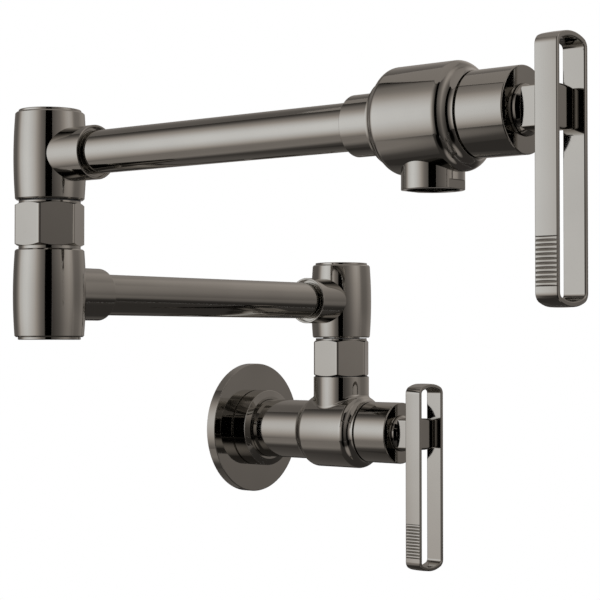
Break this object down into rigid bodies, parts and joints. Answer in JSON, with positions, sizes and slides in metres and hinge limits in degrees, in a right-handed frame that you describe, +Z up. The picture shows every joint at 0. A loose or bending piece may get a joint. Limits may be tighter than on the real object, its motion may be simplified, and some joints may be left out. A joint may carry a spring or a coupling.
{
  "type": "wall mounted pot filler",
  "caption": "Wall mounted pot filler with a round wall flange, swivelling jointed arms, quarter-turn valves with open loop levers and a short downward outlet.",
  "frame": {"origin": "centre of the inlet's mouth on the wall plane", "axes": "+Y into the wall along the inlet, +Z up along both swivel axes, -Y out into the room; the lower arm lies along -X and the upper arm along -Y"},
  "size_m": [0.2698, 0.3365, 0.2298],
  "materials": {
    "dark_nickel": "polished dark nickel plate on brass",
    "plain_brass": "machined, unplated",
    "seal_rubber": "moulded black rubber",
    "ceramic_white": "lapped ceramic",
    "spring_steel": "hardened steel",
    "bearing_plastic": "low-friction bearing plastic"
  },
  "bodies": {
    "wall_body": {"wall_gasket": "seal_rubber", "wall_flange": "dark_nickel", "flange_collar": "dark_nickel", "flange_oring": "seal_rubber", "flange_set_screw": "spring_steel", "inlet_body": "dark_nickel", "wall_cartridge_housing": "plain_brass", "wall_cartridge_oring": "seal_rubber", "wall_seat_seal": "seal_rubber", "wall_fixed_disc": "ceramic_white", "wall_bonnet": "dark_nickel", "riser_washer": "bearing_plastic", "shoulder_hex_nut": "dark_nickel", "shoulder_spindle": "dark_nickel", "shoulder_orings": "seal_rubber", "shoulder_thrust_washer": "bearing_plastic", "shoulder_retaining_ring": "spring_steel"},
    "wall_lever": {"wall_moving_disc": "ceramic_white", "wall_stem": "plain_brass", "wall_stem_orings": "seal_rubber", "wall_stem_clip": "spring_steel", "wall_lever_hub": "dark_nickel", "wall_lever_set_screw": "spring_steel", "wall_lever_loop": "dark_nickel"},
    "lower_arm": {"shoulder_barrel": "dark_nickel", "shoulder_cap": "dark_nickel", "shoulder_collar": "dark_nickel", "lower_tube": "dark_nickel", "elbow_lower_collar": "dark_nickel", "elbow_lower_barrel": "dark_nickel", "elbow_bottom_cap": "dark_nickel", "elbow_spacer": "dark_nickel", "elbow_hex_nut": "dark_nickel", "elbow_spindle": "dark_nickel", "elbow_orings": "seal_rubber", "elbow_thrust_washer": "bearing_plastic", "elbow_retaining_ring": "spring_steel"},
    "upper_arm": {"elbow_upper_barrel": "dark_nickel", "elbow_top_cap": "dark_nickel", "elbow_upper_collar": "dark_nickel", "upper_tube": "dark_nickel", "spout_collar": "dark_nickel", "spout_body": "dark_nickel", "spout_cartridge_housing": "plain_brass", "spout_cartridge_oring": "seal_rubber", "spout_seat_seal": "seal_rubber", "spout_fixed_disc": "ceramic_white", "spout_bonnet": "dark_nickel", "outlet_housing": "dark_nickel", "aerator_washer": "seal_rubber", "aerator_insert": "bearing_plastic"},
    "spout_lever": {"spout_moving_disc": "ceramic_white", "spout_stem": "plain_brass", "spout_stem_orings": "seal_rubber", "spout_stem_clip": "spring_steel", "spout_lever_hub": "dark_nickel", "spout_lever_set_screw": "spring_steel", "spout_lever_loop": "dark_nickel"}
  },
  "joints": [
    {"name": "shoulder_swivel", "type": "hinge", "parent": "wall_body", "child": "lower_arm", "pos_m": [0, -0.0662, 0.07035], "axis": [0, 0, 1], "range_deg": [-12, 192]},
    {"name": "elbow_swivel", "type": "hinge", "parent": "lower_arm", "child": "upper_arm", "pos_m": [-0.2132, -0.0662, 0.13205], "axis": [0, 0, 1], "continuous": true},
    {"name": "wall_lever_turn", "type": "hinge", "parent": "wall_body", "child": "wall_lever", "pos_m": [0, -0.1165, 0], "axis": [0, -1, 0], "range_deg": [0, 90]},
    {"name": "spout_lever_turn", "type": "hinge", "parent": "upper_arm", "child": "spout_lever", "pos_m": [-0.2132, -0.3269, 0.13205], "axis": [0, -1, 0], "range_deg": [0, 90]}
  ]
}
